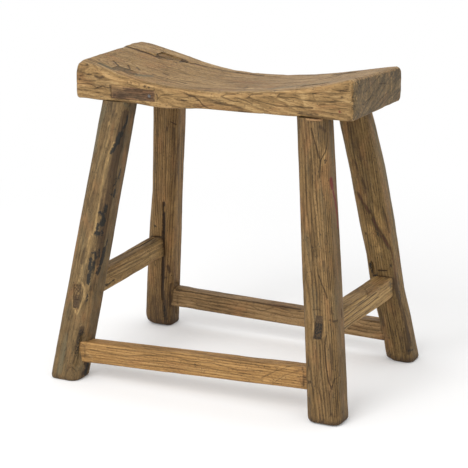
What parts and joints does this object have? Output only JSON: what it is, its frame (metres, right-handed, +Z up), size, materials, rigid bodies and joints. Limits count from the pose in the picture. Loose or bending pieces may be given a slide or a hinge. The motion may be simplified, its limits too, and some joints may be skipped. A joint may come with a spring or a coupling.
{
  "type": "saddle seat stool",
  "caption": "Rustic stool with a dished plank seat on splayed legs, tied by low front and back stretchers and higher side stretchers.",
  "frame": {"origin": "on the floor, under the middle of the stool", "axes": "+X along the plank towards the sitter's left when astride the long side, +Y from the front to the back, +Z up"},
  "size_m": [0.5119, 0.3665, 0.5161],
  "materials": {
    "elm_plank": "worn, hand polished, greyed on top",
    "elm_legs": "worn and weathered, traces of old paint",
    "elm_rails": "worn, hand polished",
    "wedge_wood": "dry end grain",
    "patch_wood": "dark, oiled",
    "shim_wood": "raw, split",
    "wrought_iron": "dark, rusted"
  },
  "bodies": {
    "root": {"seat_plank": "elm_plank", "edge_patch": "patch_wood", "patch_nail": "wrought_iron", "shoulder_shim": "shim_wood", "leg_front_left": "elm_legs", "wedge_front_left": "wedge_wood", "leg_front_right": "elm_legs", "wedge_front_right": "wedge_wood", "leg_back_left": "elm_legs", "wedge_back_left": "wedge_wood", "leg_back_right": "elm_legs", "wedge_back_right": "wedge_wood", "stretcher_front": "elm_rails", "stretcher_back": "elm_rails", "stretcher_left": "elm_rails", "stretcher_right": "elm_rails", "key_left": "wedge_wood", "key_right": "wedge_wood"}
  },
  "joints": []
}
